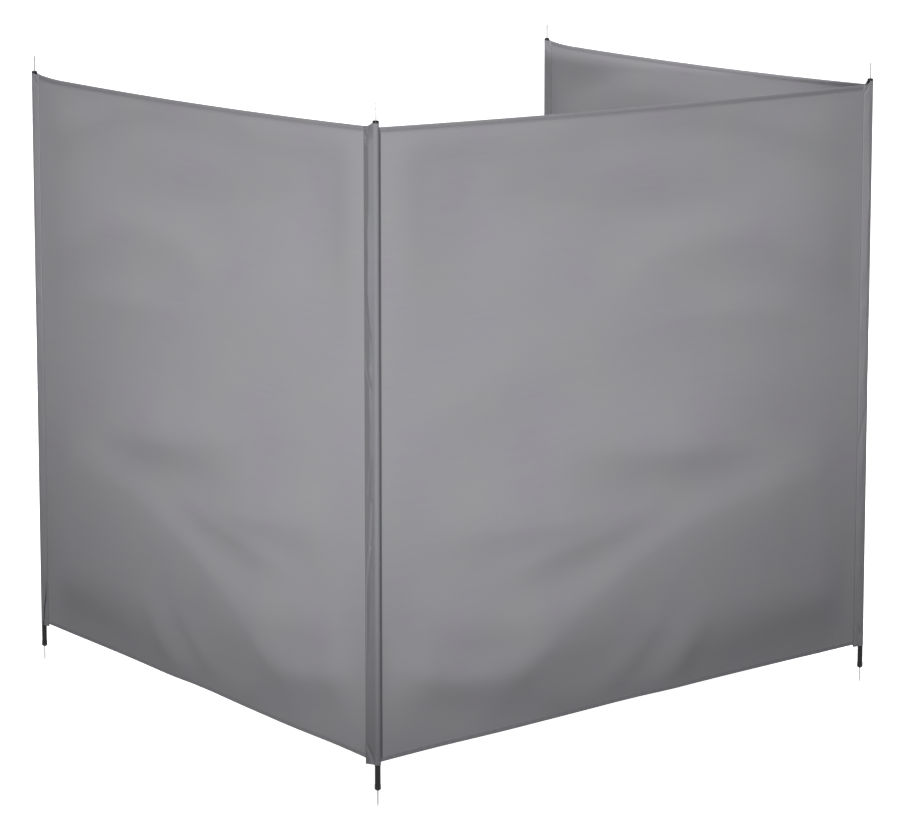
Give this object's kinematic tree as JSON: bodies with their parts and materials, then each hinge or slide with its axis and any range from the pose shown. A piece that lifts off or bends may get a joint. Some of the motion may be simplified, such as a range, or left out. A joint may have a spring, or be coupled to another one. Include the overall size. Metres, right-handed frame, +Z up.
{
  "type": "beach windbreak",
  "caption": "Grey cloth beach windbreak: slim black poles in sewn pockets carry hemmed bays of polyester that swing at the inner poles; spikes below, pins on top.",
  "frame": {"origin": "on the axis of pole 2, the corner pole between bay 1 and the middle bay, at the flat underside of its foot", "axes": "+X along the middle bay from pole 2 to pole 3, +Y into the sheltered side that the end bays enclose, +Z up along the poles"},
  "size_m": [2.2017, 1.6411, 1.548],
  "materials": {
    "pole_tube": "satin black powder coat on steel tube",
    "moulded_end": "black moulded plastic, fine matt grain",
    "pin_steel": "bright zinc-plated round bar",
    "bay_cloth": "grey woven polyester, plain weave with a dull sheen",
    "hem_cloth": "the same cloth folded and stitched, a little darker",
    "pocket_cloth": "the same cloth as a pole pocket with a stitched seam"
  },
  "bodies": {
    "middle": {"bay_2_panel": "bay_cloth", "bay_2_top_hem": "hem_cloth", "bay_2_bottom_hem": "hem_cloth", "pole_2_tube": "pole_tube", "pole_2_cap": "moulded_end", "pole_2_pin": "pin_steel", "pole_2_foot": "moulded_end", "pole_2_spike": "pin_steel", "pole_3_tube": "pole_tube", "pole_3_cap": "moulded_end", "pole_3_pin": "pin_steel", "pole_3_foot": "moulded_end", "pole_3_spike": "pin_steel", "pocket_3": "pocket_cloth"},
    "end_bay_1": {"bay_1_panel": "bay_cloth", "bay_1_top_hem": "hem_cloth", "bay_1_bottom_hem": "hem_cloth", "pole_1_tube": "pole_tube", "pole_1_cap": "moulded_end", "pole_1_pin": "pin_steel", "pole_1_foot": "moulded_end", "pole_1_spike": "pin_steel", "pocket_1": "pocket_cloth", "pocket_2": "pocket_cloth"},
    "end_bay_3": {"bay_3_panel": "bay_cloth", "bay_3_top_hem": "hem_cloth", "bay_3_bottom_hem": "hem_cloth", "pole_4_tube": "pole_tube", "pole_4_cap": "moulded_end", "pole_4_pin": "pin_steel", "pole_4_foot": "moulded_end", "pole_4_spike": "pin_steel", "pocket_4": "pocket_cloth"}
  },
  "joints": [
    {"name": "end_bay_1_swing", "type": "hinge", "parent": "middle", "child": "end_bay_1", "pos_m": [0, 0, 0], "axis": [0, 0, 1], "range_deg": [-12, 218]},
    {"name": "end_bay_3_swing", "type": "hinge", "parent": "middle", "child": "end_bay_3", "pos_m": [1.667, 0, 0], "axis": [0, 0, -1], "range_deg": [-43.1, 186.9]}
  ]
}
